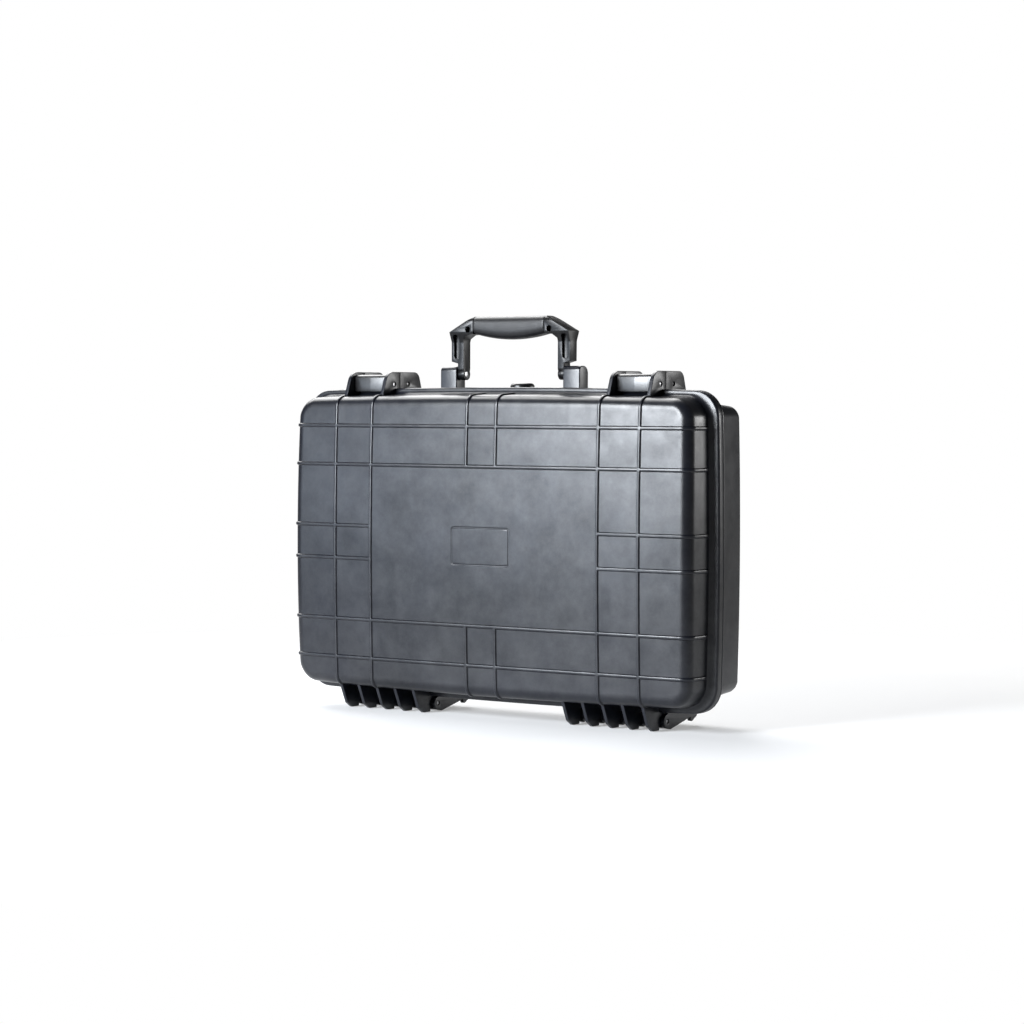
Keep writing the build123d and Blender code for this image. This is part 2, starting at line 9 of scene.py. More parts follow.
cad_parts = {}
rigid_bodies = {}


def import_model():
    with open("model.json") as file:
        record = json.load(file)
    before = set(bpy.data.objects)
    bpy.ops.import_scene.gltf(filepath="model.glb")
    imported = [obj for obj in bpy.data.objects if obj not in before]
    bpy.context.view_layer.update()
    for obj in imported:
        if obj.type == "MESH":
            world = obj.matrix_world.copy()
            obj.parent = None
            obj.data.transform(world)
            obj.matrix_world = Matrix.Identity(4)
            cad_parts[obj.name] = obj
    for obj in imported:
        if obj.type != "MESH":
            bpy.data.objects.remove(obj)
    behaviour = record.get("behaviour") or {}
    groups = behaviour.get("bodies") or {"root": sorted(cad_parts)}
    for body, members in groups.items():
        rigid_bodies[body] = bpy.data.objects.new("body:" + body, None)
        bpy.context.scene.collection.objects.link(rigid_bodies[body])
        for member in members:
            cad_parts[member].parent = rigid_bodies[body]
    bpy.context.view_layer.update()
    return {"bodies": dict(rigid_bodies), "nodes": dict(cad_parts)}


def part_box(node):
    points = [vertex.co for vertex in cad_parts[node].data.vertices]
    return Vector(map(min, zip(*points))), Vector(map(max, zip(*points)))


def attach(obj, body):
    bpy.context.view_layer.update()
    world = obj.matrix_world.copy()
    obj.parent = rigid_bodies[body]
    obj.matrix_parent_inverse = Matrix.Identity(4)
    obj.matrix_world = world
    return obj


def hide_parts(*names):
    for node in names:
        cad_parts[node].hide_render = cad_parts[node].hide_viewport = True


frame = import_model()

# ---------------------------------------------------------------------------
# Sizes, in millimetres, in the CAD's own frame: X along the hinge, -Y the lid's face, Z up
# ---------------------------------------------------------------------------
MM = 0.001
MID_Z = 175.0
PARTING_Y = -8.5
SEAM = 0.3
WALL = 3.5
FLANGE_HALF = (253.0, 159.5)
FLANGE_CORNER = 26.0
SIDE_BOW = 2.5
TOP_BOW = 3.2
CROWN_RADIUS_X = 8900.0
CROWN_RADIUS_Z = 3200.0

RIB_HEIGHT = 1.5
RIB_X = (138.5, 185.0)
RIB_Z = (80.0, 120.0)
MIDDLE_RIB_X = 17.8
MIDDLE_RIB_Z = 16.9
RIB_TOP = 1.1            # half width of a rib's flat top
RIB_FOOT = 2.1           # half width of a rib where it meets the face, with its foot's small round
LABEL_HALF = (35.5, 19.5)
LABEL_CORNER = 3.5
LABEL_LINE = 1.6
LABEL_DEPTH = 0.7

FOOT_MIDDLE = 138.5
FIN_PITCH = 23.25
FIN_THICK = 3.5
BASE_FIN_THICK = 4.0
FIN_GAP = 0.4
HINGE_Y = PARTING_Y
HINGE_Z = 8.3
KNUCKLE_RADIUS = 7.0
BARREL_RADIUS = 6.2
LATCH_X = 161.75
EAR_THICK = 4.0
EAR_TOP = 350.5
HANDLE_Y = 1.0
HANDLE_Z = 348.0
BRACKET_X = (65.5, 85.5)
BRACKET_HALF = 8.0
VALVE_Y = 17.5
VALVE_SEAT_Z = 324.6

LID = dict(
    face_y=-57.5, parting_y=PARTING_Y - SEAM, toward=1, half=(244.4, 153.9), draft=4.0, crowned=True,
    corner=24.0, edge=11.0, rib_depth=1000.0,
    flange=8.2, flange_edge=2.2, cove=4.5, seal=((2.8, 0.0), (2.8, -4.5), (6.3, -4.5), (6.3, 0.0)),
)
BASE = dict(
    face_y=56.45, parting_y=PARTING_Y, toward=-1, half=(241.2, 149.0), draft=4.5, crowned=False,
    corner=17.0, edge=7.0, rib_depth=2.0,
    flange=2.5, flange_edge=1.0, cove=1.2, seal=((3.9, 0.0), (3.9, 1.8), (5.2, 1.8), (5.2, 0.0)),
)


def smooth(t):
    """Eases from 0 to 1 as t goes from 0 to 1."""
    t = np.clip(t, 0.0, 1.0)
    return t * t * (3 - 2 * t)


# ---------------------------------------------------------------------------
# Mesh helpers
# ---------------------------------------------------------------------------
SHARP = math.radians(40)  # an edge that turns more than this is shaded sharp
SAME_POINT = 0.00001      # metres, vertices closer than this are one
ARC_STEPS = 10


def new_object(name, verts_mm, faces):
    """A mesh object from points in millimetres, smooth except across sharp edges."""
    mesh = bpy.data.meshes.new(name)
    mesh.from_pydata([tuple(c * MM for c in v) for v in verts_mm], [], faces)
    piece = bpy.data.objects.new(name, mesh)
    bpy.context.scene.collection.objects.link(piece)
    tidy_normals(mesh)
    return piece


def tidy_normals(mesh):
    """Outward faces, smooth shading, and sharp edges where the surface really turns."""
    bm = bmesh.new()
    bm.from_mesh(mesh)
    bmesh.ops.recalc_face_normals(bm, faces=bm.faces)
    bm.to_mesh(mesh)
    bm.free()
    mesh.polygons.foreach_set("use_smooth", [True] * len(mesh.polygons))
    mesh.set_sharp_from_angle(angle=SHARP)
    mesh.update()


def join(name, pieces):
    """One object from several, each a closed surface of its own."""
    bm = bmesh.new()
    for piece in pieces:
        bm.from_mesh(piece.data)
    mesh = bpy.data.meshes.new(name)
    bm.to_mesh(mesh)
    bm.free()
    for piece in pieces:
        old = piece.data
        bpy.data.objects.remove(piece)
        bpy.data.meshes.remove(old)
    whole = bpy.data.objects.new(name, mesh)
    bpy.context.scene.collection.objects.link(whole)
    mesh.polygons.foreach_set("use_smooth", [True] * len(mesh.polygons))
    mesh.set_sharp_from_angle(angle=SHARP)
    return whole


def rounded(corners, steps=6):
    """A closed outline with its corners rounded. Each corner is (a, b, radius)."""
    points = []
    count = len(corners)
    for i, (a, b, radius) in enumerate(corners):
        here = Vector((a, b))
        if radius <= 0:
            points.append(here)
            continue
        before = (Vector(corners[i - 1][:2]) - here).normalized()
        after = (Vector(corners[(i + 1) % count][:2]) - here).normalized()
        half_angle = before.angle(after) / 2
        reach = radius / math.tan(half_angle)
        centre = here + (before + after).normalized() * radius / math.sin(half_angle)
        start = here + before * reach - centre
        end = here + after * reach - centre
        sweep = start.angle_signed(end)
        for s in range(steps + 1):
            turn = -sweep * s / steps
            c, n = math.cos(turn), math.sin(turn)
            points.append(centre + Vector((start.x * c - start.y * n, start.x * n + start.y * c)))
    return [(p.x, p.y) for p in points]


def circle(a, b, radius, steps=40):
    turns = [2 * math.pi * s / steps for s in range(steps)]
    return [(a + radius * math.cos(t), b + radius * math.sin(t)) for t in turns]


def plate(name, outline, thick, centre, edge, axis="X", holes=()):
    """A flat plate with rounded edges, cut to an outline and holes.
    Across X the outline is (Y, Z), and across Z it is (X, Y)."""
    curve = bpy.data.curves.new(name, "CURVE")
    curve.dimensions = "2D"
    curve.fill_mode = "BOTH"
    for ring in [outline, *holes]:
        spline = curve.splines.new("POLY")
        spline.points.add(len(ring) - 1)
        for point, (a, b) in zip(spline.points, ring):
            point.co = (a * MM, b * MM, 0, 1)
        spline.use_cyclic_u = True
    curve.extrude = (thick / 2 - edge) * MM
    curve.bevel_depth = edge * MM
    curve.bevel_resolution = 3
    curve.offset = -edge * MM
    holder = bpy.data.objects.new(name + "_curve", curve)
    bpy.context.scene.collection.objects.link(holder)
    bpy.context.view_layer.update()
    mesh = bpy.data.meshes.new_from_object(holder.evaluated_get(bpy.context.evaluated_depsgraph_get()))
    bpy.data.objects.remove(holder)
    bpy.data.curves.remove(curve)
    bm = bmesh.new()
    bm.from_mesh(mesh)
    bmesh.ops.remove_doubles(bm, verts=bm.verts, dist=SAME_POINT)
    for v in bm.verts:
        a, b, c = v.co
        if axis == "X":
            v.co = (c + centre * MM, a, b)
        else:
            v.co = (a, b, c + centre * MM)
    bm.to_mesh(mesh)
    bm.free()
    tidy_normals(mesh)
    piece = bpy.data.objects.new(name, mesh)
    bpy.context.scene.collection.objects.link(piece)
    return piece


# ---------------------------------------------------------------------------
# The two shells: a face grid, rings down the walls, round the flange and back up the inside
# ---------------------------------------------------------------------------
FIXED = (190.0, 124.0)       # inside this, grid lines stay straight down every wall
CORNER_STEPS = 6
GRID_SPACING = 11.0
LEAST_GAP = 0.12
RIB_FADE = 0.1               # share of the wall over which a rib runs out before the flange
RIB_STEPS = (0.0, 1.05, 1.3, 1.55, 1.8, 2.1, 2.7)
LABEL_STEPS = (1.3, 0.6, 0.25, -0.1, -0.45, -0.8, -1.15, -1.5, -1.85, -2.3, -3.0)


def grid_lines(ribs, extras, fixed, half, corner):
    """Grid line places across one face: close together on ribs, wider between them."""
    places = {0.0, fixed, half - corner}
    for middle in ribs:
        for step in RIB_STEPS:
            places.update((middle - step, middle + step))
    places.update(extras)
    kept = [0.0]
    for place in sorted(p for p in places if 0 < p <= half - corner):
        gap = place - kept[-1]
        if gap < LEAST_GAP:
            continue
        start = kept[-1]
        parts = math.ceil(gap / GRID_SPACING)
        kept.extend(start + gap * (k + 1) / parts for k in range(parts))
    kept.extend(half - corner + corner * (k + 1) / CORNER_STEPS for k in range(CORNER_STEPS))
    return np.array([-p for p in reversed(kept[1:])] + kept)


def rib(distance):
    """Height of a rib, 0 to 1, at a distance from its middle line."""
    return 1 - smooth((np.abs(distance) - RIB_TOP) / (RIB_FOOT - RIB_TOP))


def rib_height(x, z):
    """Height of the rib grid at points of the face."""
    bare = np.ones(np.broadcast(x, z).shape)
    for place in RIB_X:
        bare = bare * (1 - rib(np.abs(x) - place))
    for place in RIB_Z:
        bare = bare * (1 - rib(np.abs(z) - place))
    bare = bare * (1 - rib(np.abs(x) - MIDDLE_RIB_X) * (np.abs(z) > RIB_Z[0]))
    bare = bare * (1 - rib(np.abs(z) - MIDDLE_RIB_Z) * (np.abs(x) > RIB_X[0]))
    return RIB_HEIGHT * (1 - bare)


def label_depth(x, z):
    """Depth of the thin line round the blank label."""
    qx = np.abs(x) - LABEL_HALF[0] + LABEL_CORNER
    qz = np.abs(z) - LABEL_HALF[1] + LABEL_CORNER
    past_corner = np.hypot(np.maximum(qx, 0), np.maximum(qz, 0))
    outside = past_corner + np.minimum(np.maximum(qx, qz), 0) - LABEL_CORNER
    off_line = np.abs(outside + LABEL_LINE / 2)
    return LABEL_DEPTH * (1 - smooth((off_line - 0.6) / 0.5))


def bowed(x, z, face):
    """Every outline bows gently outwards: its corners fall back from the middles of its sides."""
    near_side = smooth((np.abs(x) - FIXED[0]) / (face[0] - FIXED[0]))
    near_end = smooth((np.abs(z) - FIXED[1]) / (face[1] - FIXED[1]))
    out_x = x - np.sign(x) * SIDE_BOW * np.minimum(np.abs(z) / 150.0, 1) ** 2 * near_side
    out_z = z - np.sign(z) * TOP_BOW * np.minimum(np.abs(x) / 240.0, 1) ** 2 * near_end
    return out_x, out_z


def crown(x, z, form):
    """How far a domed face has fallen back at a point. The base's rear face is flat."""
    share = 1.0 if form["crowned"] else 0.0
    return share * (x**2 / (2 * CROWN_RADIUS_X) + z**2 / (2 * CROWN_RADIUS_Z))


class ShellGrid:
    """The grid of one shell's face, and outlines that share its edge places."""

    def __init__(self, form):
        self.form = form
        self.slope = math.tan(math.radians(form["draft"]))
        self.full = abs(form["parting_y"] - form["face_y"])
        self.reach = form["edge"] * math.tan(math.radians(90 - form["draft"]) / 2)
        back = self.full * self.slope + self.reach
        self.face = (form["half"][0] - back, form["half"][1] - back)
        self.corner = form["corner"] - back
        label_x = [LABEL_HALF[0] + step for step in LABEL_STEPS]
        label_z = [LABEL_HALF[1] + step for step in LABEL_STEPS]
        if not form["crowned"]:
            label_x = label_z = []
        self.xs = grid_lines((MIDDLE_RIB_X, *RIB_X), label_x, FIXED[0], self.face[0], self.corner)
        self.zs = grid_lines((MIDDLE_RIB_Z, *RIB_Z), label_z, FIXED[1], self.face[1], self.corner)
        nx, nz = len(self.xs), len(self.zs)
        self.rim = (
            [(i, 0) for i in range(nx)]
            + [(nx - 1, j) for j in range(1, nz)]
            + [(i, nz - 1) for i in range(nx - 2, -1, -1)]
            + [(0, j) for j in range(nz - 2, 0, -1)]
        )
        self.rim_x = np.array([self.xs[i] for i, j in self.rim])
        self.rim_z = np.array([self.zs[j] for i, j in self.rim])

    def points(self):
        """The grid's points, its square corners drawn in to the face's rounded ones."""
        x, z = np.meshgrid(self.xs, self.zs, indexing="ij")
        a = np.clip((np.abs(x) - self.face[0] + self.corner) / self.corner, 0, 1)
        b = np.clip((np.abs(z) - self.face[1] + self.corner) / self.corner, 0, 1)
        reach = np.maximum(a, b)
        safe = np.where(reach > 0, reach, 1.0)
        angle = np.where(a >= b, b / safe, 2 - a / safe) * math.pi / 4
        both = (a > 0) & (b > 0)
        new_x = np.where(both, self.face[0] - self.corner + self.corner * reach * np.cos(angle), np.abs(x))
        new_z = np.where(both, self.face[1] - self.corner + self.corner * reach * np.sin(angle), np.abs(z))
        return x, z, np.sign(x) * new_x, np.sign(z) * new_z

    def outline(self, half_x, half_z, radius):
        """Points and outward directions round a rounded rectangle, one for each edge place of the grid."""
        a = (np.abs(self.rim_x) - self.face[0] + self.corner) / self.corner
        b = (np.abs(self.rim_z) - self.face[1] + self.corner) / self.corner
        a, b = np.clip(a, 0, 1), np.clip(b, 0, 1)
        angle = np.where(a >= b, b, 2 - a) * math.pi / 4
        x = self.stretch(np.abs(self.rim_x), 0, half_x - radius)
        z = self.stretch(np.abs(self.rim_z), 1, half_z - radius)
        in_corner = (a > 0) & (b > 0)
        on_end = (b >= 1) & ~in_corner
        x = np.where(in_corner, half_x - radius + radius * np.cos(angle), np.where(on_end, x, half_x))
        z = np.where(in_corner, half_z - radius + radius * np.sin(angle), np.where(on_end, half_z, z))
        out_x = np.where(in_corner, np.cos(angle), np.where(on_end, 0.0, 1.0))
        out_z = np.where(in_corner, np.sin(angle), np.where(on_end, 1.0, 0.0))
        side_x, side_z = np.sign(self.rim_x), np.sign(self.rim_z)
        return side_x * x, side_z * z, side_x * out_x, side_z * out_z

    def stretch(self, place, axis, straight_end):
        """Places past the fixed part of a side spread over what is left of its straight."""
        limit = self.face[axis] - self.corner
        spread = FIXED[axis] + (place - FIXED[axis]) * (straight_end - FIXED[axis]) / (limit - FIXED[axis])
        return np.where(place <= FIXED[axis], place, spread)

    def rings(self):
        """Rings from the face's edge to the inner ceiling's edge, as (half width, half height, corner radius,
        depth from the face, share of the rib's height, how far the rib leans from the face to the wall)."""
        form, slope, full = self.form, self.slope, self.full
        x, z, _, _ = self.outline(*self.face, self.corner)
        fall = crown(x, z, form)
        drawn_in = full * slope
        front = (form["half"][0] - drawn_in, form["half"][1] - drawn_in, form["corner"] - drawn_in)
        lip = (FLANGE_HALF[0], FLANGE_HALF[1], FLANGE_CORNER)
        wall_angle = math.radians(90 - form["draft"])

        def shell_ring(grow, depth, share=0.0, lean=1.0):
            return front[0] + grow, front[1] + grow, front[2] + grow, depth, share, lean

        def lip_ring(back, depth):
            return lip[0] - back, lip[1] - back, lip[2] - back, depth, 0.0, 1.0

        for step in range(1, 9):
            angle = wall_angle * step / 8
            grow = fall * slope - self.reach + form["edge"] * math.sin(angle)
            sunk = form["edge"] * (1 - math.cos(angle))
            yield shell_ring(grow, fall + sunk, max(0.0, 1 - sunk / form["rib_depth"]), math.sin(angle))
        wall_start = fall + form["edge"] * (1 - math.cos(wall_angle))
        flange_front = full - form["flange"]
        wall_end = flange_front - form["cove"]
        for share in (0.35, 0.7, 0.85, 0.93, 1.0):
            depth = wall_start + (wall_end - wall_start) * share
            stand = min(1.0, (1.0 - share) / RIB_FADE)
            yield shell_ring(depth * slope, depth, stand if form["crowned"] else 0.0)
        edge = form["flange_edge"]
        for step in range(1, 8):
            angle = math.pi / 2 * step / 7
            across = 1 - math.cos(angle)
            wall = [f + wall_end * slope for f in front]
            sizes = [w + (f - edge - w) * across for w, f in zip(wall, lip)]
            yield (*sizes, wall_end + form["cove"] * math.sin(angle), 0.0, 1.0)
        for step in range(1, 6):
            angle = math.pi / 2 * step / 5
            yield lip_ring(edge * (1 - math.sin(angle)), flange_front + edge * (1 - math.cos(angle)))
        for back, depth in ((0.0, full - 0.7), (0.12, full - 0.3), (0.35, full - 0.08), (0.7, full)):
            yield lip_ring(back, depth)
        for back, rise in form["seal"]:
            yield lip_ring(back, full + rise)
        inner_edge = form["edge"] - WALL
        ceiling = fall + WALL
        deepest = ceiling + inner_edge * (1 - math.cos(wall_angle))
        for share in (0.0, 0.5, 1.0):
            depth = full + (deepest - full) * share
            yield shell_ring(depth * slope - WALL, depth)
        for step in range(4, 0, -1):
            angle = wall_angle * step / 5
            corner_grow = ceiling * slope - WALL - inner_edge * math.tan(wall_angle / 2)
            grow = corner_grow + inner_edge * math.sin(angle)
            yield shell_ring(grow, ceiling + inner_edge * (1 - math.cos(angle)))

    def build(self, name):
        """A closed moulded shell with its rib grid, flange and inside."""
        form = self.form
        grid_x, grid_z, px, pz = self.points()
        fall = crown(px, pz, form)
        proud = rib_height(grid_x, grid_z)
        if form["crowned"]:
            proud = proud - label_depth(grid_x, grid_z)
        bx, bz = bowed(px, pz, self.face)
        outer_y = form["face_y"] + form["toward"] * (fall - proud)
        verts = list(zip(bx.ravel(), outer_y.ravel(), bz.ravel() + MID_Z))
        faces = self.grid_faces(0)
        before = self.rim_indices(0)
        rim_ribs = rib_height(self.rim_x, self.rim_z)
        for half_x, half_z, radius, depth, share, lean in self.rings():
            x, z, out_x, out_z = self.outline(half_x, half_z, radius)
            stand = rim_ribs * share
            y = form["face_y"] + form["toward"] * (depth - stand * math.sqrt(1 - lean**2))
            x, z = bowed(x + out_x * stand * lean, z + out_z * stand * lean, self.face)
            start = len(verts)
            verts.extend(zip(x, np.broadcast_to(y, x.shape), z + MID_Z))
            ring = list(range(start, start + len(self.rim)))
            faces.extend(bridge(before, ring))
            before = ring
        start = len(verts)
        inner_y = form["face_y"] + form["toward"] * (fall + WALL)
        verts.extend(zip(bx.ravel(), inner_y.ravel(), bz.ravel() + MID_Z))
        faces.extend(self.grid_faces(start))
        faces.extend(bridge(before, self.rim_indices(start)))
        return new_object(name, verts, faces)

    def grid_faces(self, start):
        nz = len(self.zs)
        corners = [start + i * nz + j for i in range(len(self.xs) - 1) for j in range(nz - 1)]
        return [(a, a + nz, a + nz + 1, a + 1) for a in corners]

    def rim_indices(self, start):
        return [start + i * len(self.zs) + j for i, j in self.rim]


def bridge(ring, other):
    """Faces between two rings of equal length."""
    count = len(ring)
    return [(ring[k], other[k], other[(k + 1) % count], ring[(k + 1) % count]) for k in range(count)]


def arc(a, b, radius, start, end):
    """Points on an arc, its angles in degrees."""
    turns = [math.radians(start + (end - start) * s / ARC_STEPS) for s in range(ARC_STEPS + 1)]
    return [(a + radius * math.cos(t), b + radius * math.sin(t)) for t in turns]


# ---------------------------------------------------------------------------
# Hinge knuckles, latch ears, brackets and the valve's seat, each running into its shell's wall
# ---------------------------------------------------------------------------
SIDES = (-1, 1)
TURNING_HOLE = 2.08      # radius of a hole that its pin turns in
PRESSED_HOLE = 2.02      # radius of a hole that holds its pin
CATCH_BAR = (-17.5, 337.5)
LATCH_PIN = (6.5, 338.0)
FIN_EDGE = 0.45
EAR_EDGE = 0.6
SEAT_RADIUS = 16.0
SEAT_THICK = 7.2
SEAT_BORE = 6.1
LID_FINS = [FOOT_MIDDLE + FIN_PITCH * i for i in range(-2, 3)]
BASE_FINS = [x + FIN_PITCH / 2 for x in LID_FINS[:-1]]
END_STEP = FIN_THICK / 2 + FIN_GAP + BASE_FIN_THICK / 2
END_FINS = [LID_FINS[0] - END_STEP, LID_FINS[-1] + END_STEP]
BARREL_LENGTH = FIN_PITCH - FIN_THICK - 2 * FIN_GAP
PIN_HOLE = circle(HINGE_Y, HINGE_Z, TURNING_HOLE)
LID_FIN = (
    rounded([(-46.5, 26.5, 0), (-36.5, 5.0, 2.5), (-28.5, 0.0, 2.5), (-14.0, 0.0, 1.5)])
    + arc(HINGE_Y, HINGE_Z, KNUCKLE_RADIUS, -90, 90)
    + [(PARTING_Y - SEAM, 24.0)]
)
BASE_FIN = (
    [(-3.0, 0.0)]
    + rounded([(30.5, 0.0, 3.0), (47.5, 9.3, 3.0), (47.5, 33.5, 0)])
    + [(PARTING_Y, 29.0)]
    + arc(HINGE_Y, HINGE_Z, KNUCKLE_RADIUS, 90, 270)
)
LID_EAR = rounded([
    (-38.9, 323.0, 0), (-29.0, EAR_TOP, 13.0),
    (PARTING_Y - SEAM, EAR_TOP, 0.6), (PARTING_Y - SEAM, 325.5, 0),
])
BASE_EAR = rounded([
    (PARTING_Y, 320.5, 0), (PARTING_Y, EAR_TOP, 0.6),
    (24.0, EAR_TOP, 9.0), (29.5, 333.0, 3.0), (30.5, 318.0, 0),
])
BRACKET = rounded([
    (HANDLE_Y - BRACKET_HALF, 321.0, 0), (HANDLE_Y - BRACKET_HALF, HANDLE_Z + BRACKET_HALF, 5.0),
    (HANDLE_Y + BRACKET_HALF, HANDLE_Z + BRACKET_HALF, 7.5), (HANDLE_Y + BRACKET_HALF, 321.0, 0),
], steps=10)


def lid_shell():
    parts = [ShellGrid(LID).build("lid_skin")]
    for side in SIDES:
        for x in LID_FINS:
            parts.append(plate("lid_fin", LID_FIN, FIN_THICK, side * x, FIN_EDGE, holes=[PIN_HOLE]))
        for x in RIB_X:
            hole = circle(*CATCH_BAR, PRESSED_HOLE)
            parts.append(plate("lid_ear", LID_EAR, EAR_THICK, side * x, EAR_EDGE, holes=[hole]))
    return join("lid_visual", parts)


def base_shell():
    parts = [ShellGrid(BASE).build("base_skin")]
    barrel = circle(HINGE_Y, HINGE_Z, BARREL_RADIUS)
    for side in SIDES:
        for x in BASE_FINS + END_FINS:
            parts.append(plate("base_fin", BASE_FIN, BASE_FIN_THICK, side * x, FIN_EDGE, holes=[PIN_HOLE]))
        for x in BASE_FINS:
            parts.append(plate("barrel", barrel, BARREL_LENGTH, side * x, FIN_EDGE, holes=[PIN_HOLE]))
        for x in RIB_X:
            hole = circle(*LATCH_PIN, PRESSED_HOLE)
            parts.append(plate("base_ear", BASE_EAR, EAR_THICK, side * x, EAR_EDGE, holes=[hole]))
        middle = sum(BRACKET_X) / 2
        parts.append(plate("bracket", BRACKET, BRACKET_X[1] - BRACKET_X[0], side * middle, 1.0))
    seat, bore = circle(0, VALVE_Y, SEAT_RADIUS, 64), circle(0, VALVE_Y, SEAT_BORE)
    parts.append(plate("seat", seat, SEAT_THICK, VALVE_SEAT_Z - SEAT_THICK / 2, 0.7, axis="Z", holes=[bore]))
    return join("base_visual", parts)


# ---------------------------------------------------------------------------
# Small pieces
# ---------------------------------------------------------------------------
def refine(node, width, extra=()):
    """The CAD piece with its edges rounded, and any extra closed forms added."""
    bm = bmesh.new()
    bm.from_mesh(frame["nodes"][node].data)
    bmesh.ops.remove_doubles(bm, verts=bm.verts, dist=SAME_POINT)
    bmesh.ops.dissolve_limit(bm, angle_limit=math.radians(0.5), verts=bm.verts, edges=bm.edges)
    mesh = bpy.data.meshes.new(node + "_visual")
    bm.to_mesh(mesh)
    bm.free()
    piece = bpy.data.objects.new(node + "_rough", mesh)
    bpy.context.scene.collection.objects.link(piece)
    bevel = piece.modifiers.new("edges", "BEVEL")
    bevel.width = width * MM
    bevel.segments = 3
    bevel.limit_method = "ANGLE"
    bevel.angle_limit = math.radians(35)
    bpy.context.view_layer.update()
    shaped = bpy.data.meshes.new_from_object(piece.evaluated_get(bpy.context.evaluated_depsgraph_get()))
    piece.modifiers.clear()
    piece.data = shaped
    tidy_normals(shaped)
    return join(node + "_visual", [piece, *extra])


def lever_ridge(x):
    """The lever's front panel: two flat halves that meet at a shallow ridge down the middle."""
    half, back_y, side_y, ridge_y = 19.5, -24.0, -25.3, -26.1
    height, middle_z = 13.0, 338.0
    outline = rounded([
        (x - half, side_y, 0.2), (x - half, back_y, 0), (x + half, back_y, 0), (x + half, side_y, 0.2),
        (x, ridge_y, 0.5),
    ])
    return plate("ridge", outline, height, middle_z, 0.35, axis="Z")


def handle_grip():
    """The moulded grip: a rounded section whose underside sags towards the middle."""
    low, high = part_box("handle_grip")
    half_length = (high.x - low.x) / 2 / MM
    top, bottom = high.z / MM, low.z / MM
    depth = (high.y - low.y) / 2 / MM
    end_rise = 5.6
    around, power = 56, 2.9
    # stations along the grip, as (share of the half length, how far the section is drawn in)
    ends = ((1.0, 1.4), (1.0, 0.6), (0.994, 0.2), (0.985, 0.0))
    places = list(ends) + [(k / 16, 0.0) for k in range(15, -16, -1)] + [(-p, r) for p, r in reversed(ends)]
    verts, faces = [], []
    before = None
    for place, drawn_in in places:
        x = place * half_length
        low_z = bottom + end_rise * place**2
        half_height = (top - low_z) / 2 - drawn_in
        ring = []
        for s in range(around):
            turn = 2 * math.pi * s / around
            c, n = math.cos(turn), math.sin(turn)
            y = HANDLE_Y + (depth - drawn_in) * math.copysign(abs(c) ** (2 / power), c)
            z = (top + low_z) / 2 + half_height * math.copysign(abs(n) ** (2 / power), n)
            ring.append(len(verts))
            verts.append((x, y, z))
        if before:
            faces.extend(bridge(before, ring))
        else:
            faces.append(tuple(ring))
        before = ring
    faces.append(tuple(reversed(before)))
    return new_object("handle_grip_visual", verts, faces)


def lid_foam():
    """Convoluted foam in the lid: rows of soft peaks that face the base."""
    low, high = (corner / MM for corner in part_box("lid_foam"))
    half_x, half_z, corner = (high.x - low.x) / 2, (high.z - low.z) / 2, 18.0
    pitch, valley, front = 32.0, 8.0, low.y + 7.0
    border, edge_dip, lid_side_inset = 14, 3.0, 0.965
    columns, rows = 120, 74
    u = np.linspace(-1, 1, columns)
    v = np.linspace(-1, 1, rows)
    gx, gz = np.meshgrid(u * half_x, v * half_z, indexing="ij")
    over_x = np.clip((np.abs(gx) - half_x + corner) / corner, 0, 1)
    over_z = np.clip((np.abs(gz) - half_z + corner) / corner, 0, 1)
    in_corner = (over_x > 0) & (over_z > 0)
    round_off = np.maximum(over_x, over_z) / np.maximum(np.hypot(over_x, over_z), 1e-9)
    pull = np.where(in_corner, round_off, 1.0)
    px = np.sign(gx) * (np.minimum(np.abs(gx), half_x - corner) + over_x * corner * pull)
    pz = np.sign(gz) * (np.minimum(np.abs(gz), half_z - corner) + over_z * corner * pull)
    wave = np.cos(2 * math.pi * px / pitch) * np.cos(2 * math.pi * pz / pitch)
    inland = smooth((half_x - np.abs(gx)) / border) * smooth((half_z - np.abs(gz)) / border)
    back = high.y - valley * (0.5 - 0.5 * wave) * inland - edge_dip * (1 - inland) ** 4
    verts, faces = [], []
    for y in (back, np.full_like(back, front)):
        start = len(verts)
        inside = 1.0 if y is back else lid_side_inset
        verts.extend(zip((px * inside).ravel(), y.ravel(), (pz * inside).ravel() + MID_Z))
        corners = [start + i * rows + j for i in range(columns - 1) for j in range(rows - 1)]
        faces.extend((a, a + rows, a + rows + 1, a + 1) for a in corners)
    rim = ([(i, 0) for i in range(columns)] + [(columns - 1, j) for j in range(1, rows)]
           + [(i, rows - 1) for i in range(columns - 2, -1, -1)] + [(0, j) for j in range(rows - 2, 0, -1)])
    ring = [i * rows + j for i, j in rim]
    faces.extend(bridge(ring, [columns * rows + k for k in ring]))
    return new_object("lid_foam_visual", verts, faces)


def base_foam():
    """The foam tray, its cut edges softened."""
    bm = bmesh.new()
    bm.from_mesh(frame["nodes"]["base_foam"].data)
    bmesh.ops.remove_doubles(bm, verts=bm.verts, dist=SAME_POINT)
    mesh = bpy.data.meshes.new("base_foam_visual")
    bm.to_mesh(mesh)
    bm.free()
    piece = bpy.data.objects.new("base_foam_visual", mesh)
    bpy.context.scene.collection.objects.link(piece)
    remesh = piece.modifiers.new("even", "REMESH")
    remesh.mode = "VOXEL"
    remesh.voxel_size = 3.6 * MM
    soften = piece.modifiers.new("soft", "SMOOTH")
    soften.factor = 0.5
    soften.iterations = 3
    bpy.context.view_layer.update()
    shaped = bpy.data.meshes.new_from_object(piece.evaluated_get(bpy.context.evaluated_depsgraph_get()))
    piece.modifiers.clear()
    piece.data = shaped
    shaped.polygons.foreach_set("use_smooth", [True] * len(shaped.polygons))
    return piece


